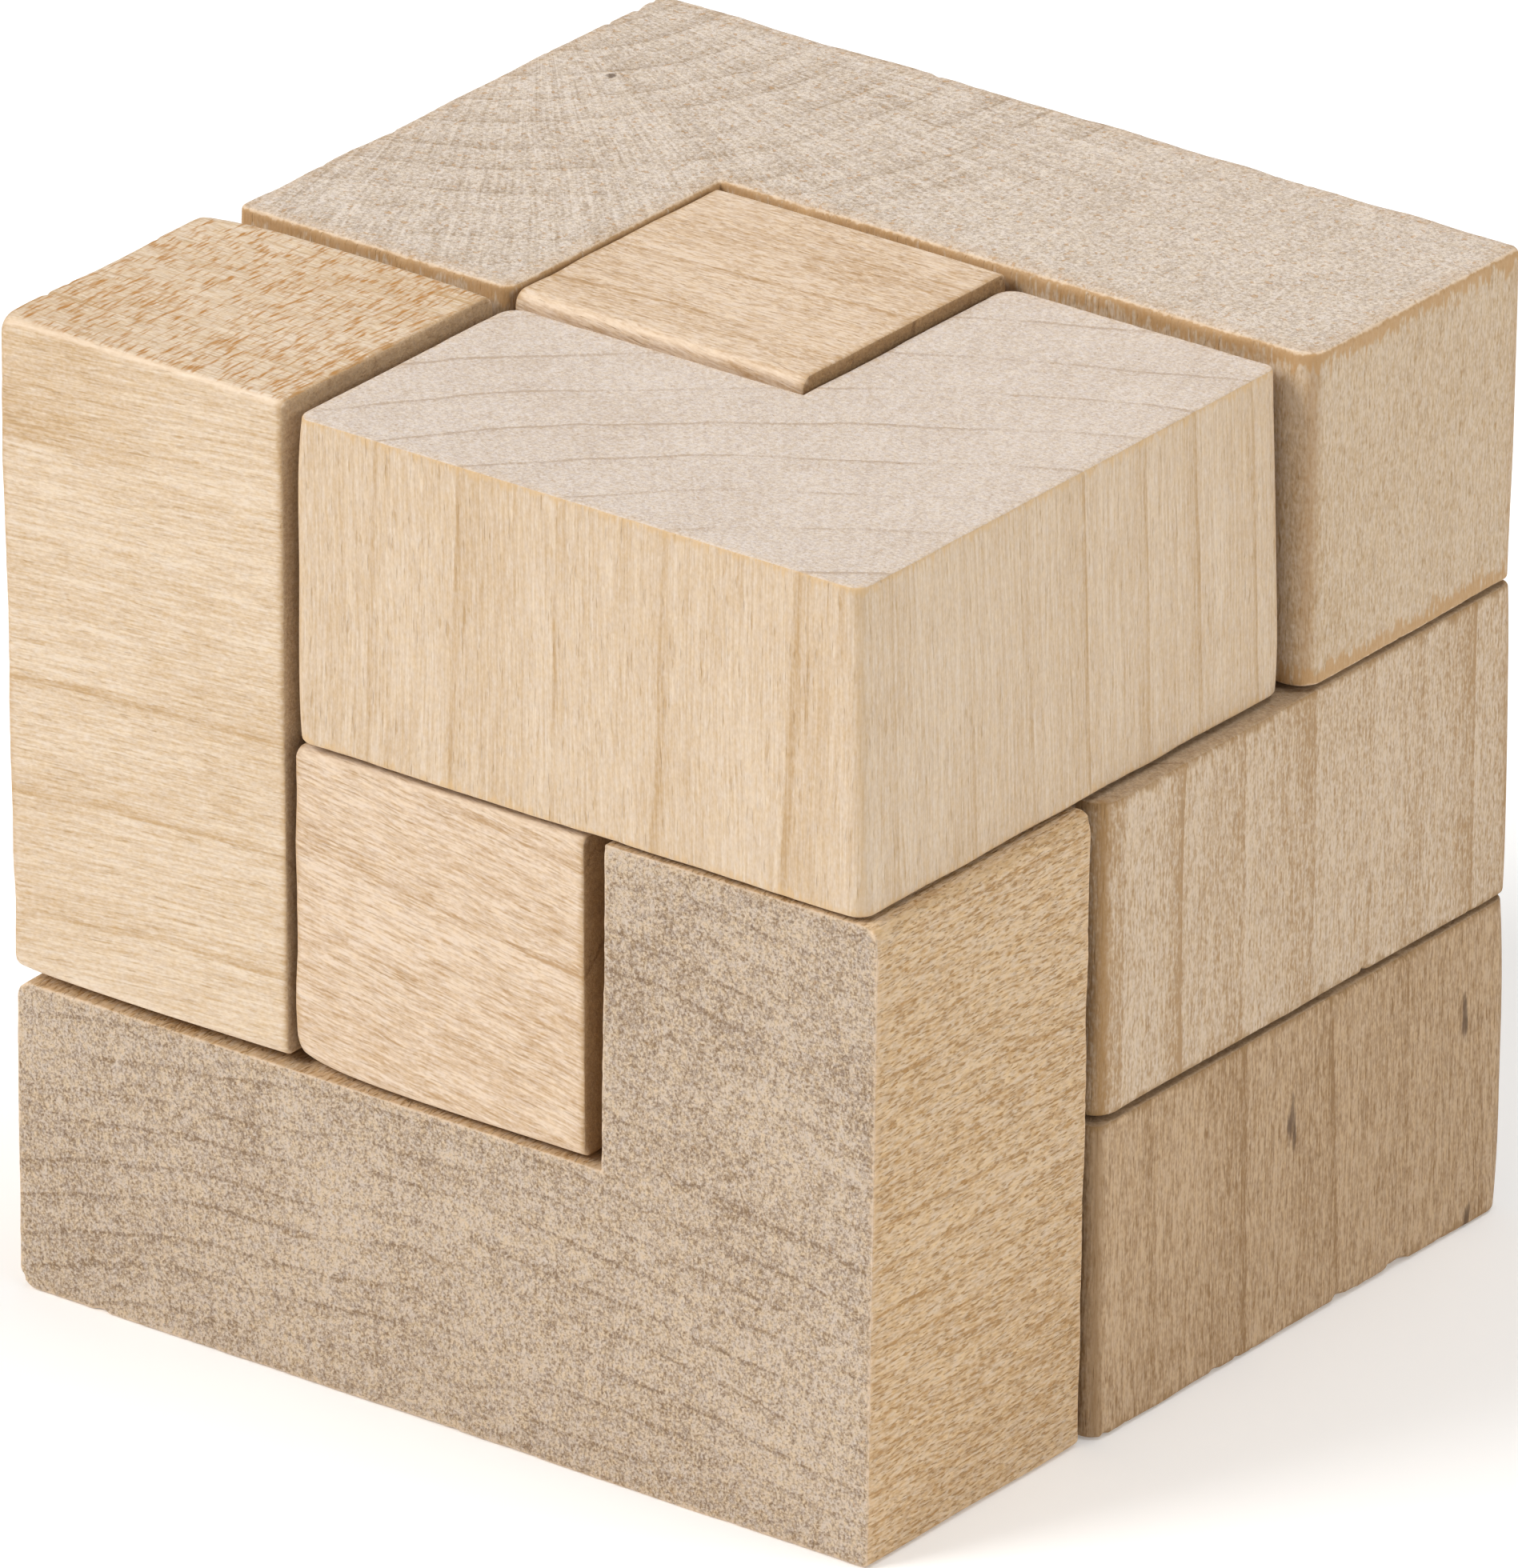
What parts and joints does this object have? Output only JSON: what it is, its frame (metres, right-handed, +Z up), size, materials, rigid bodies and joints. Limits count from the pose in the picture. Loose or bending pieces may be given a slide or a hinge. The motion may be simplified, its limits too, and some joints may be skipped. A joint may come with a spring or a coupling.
{
  "type": "wooden packing puzzle",
  "caption": "Wooden take-apart puzzle: pale unit-thick L, T, Z and V blocks that pack together into a solid cube.",
  "frame": {"origin": "middle of the underside of the assembled cube, on the surface it stands on", "axes": "+X to the right along the front of the cube, +Y to its back, +Z up"},
  "size_m": [0.0624, 0.0602, 0.0601],
  "materials": {
    "t_piece_wood": "bare sanded hardwood, tumbled edges",
    "z_piece_wood": "bare sanded hardwood, tumbled edges",
    "v_piece_wood": "bare sanded hardwood, tumbled edges",
    "l_front_wood": "bare sanded hardwood, tumbled edges",
    "l_top_wood": "bare sanded hardwood, tumbled edges",
    "l_middle_wood": "bare sanded hardwood, tumbled edges",
    "l_bottom_wood": "bare sanded hardwood, tumbled edges"
  },
  "bodies": {
    "t_piece": {"t_piece": "t_piece_wood"},
    "z_piece": {"z_piece": "z_piece_wood"},
    "v_piece": {"v_piece": "v_piece_wood"},
    "l_front": {"l_front": "l_front_wood"},
    "l_top": {"l_top": "l_top_wood"},
    "l_middle": {"l_middle": "l_middle_wood"},
    "l_bottom": {"l_bottom": "l_bottom_wood"}
  },
  "joints": [
    {"name": "z_piece_slide", "type": "slide", "parent": "t_piece", "child": "z_piece", "axis": [-1, 0, 0], "range_m": [0, 0.03]},
    {"name": "v_piece_lift", "type": "slide", "parent": "t_piece", "child": "v_piece", "axis": [0, 0, 1], "range_m": [0, 0.03]},
    {"name": "l_front_slide", "type": "slide", "parent": "t_piece", "child": "l_front", "axis": [0, -1, 0], "range_m": [0, 0.03]},
    {"name": "l_top_lift", "type": "slide", "parent": "t_piece", "child": "l_top", "axis": [0, 0, 1], "range_m": [0, 0.03]},
    {"name": "l_middle_slide", "type": "slide", "parent": "t_piece", "child": "l_middle", "axis": [1, 0, 0], "range_m": [0, 0.065]},
    {"name": "l_bottom_slide", "type": "slide", "parent": "t_piece", "child": "l_bottom", "axis": [0, 1, 0], "range_m": [0, 0.045]}
  ]
}
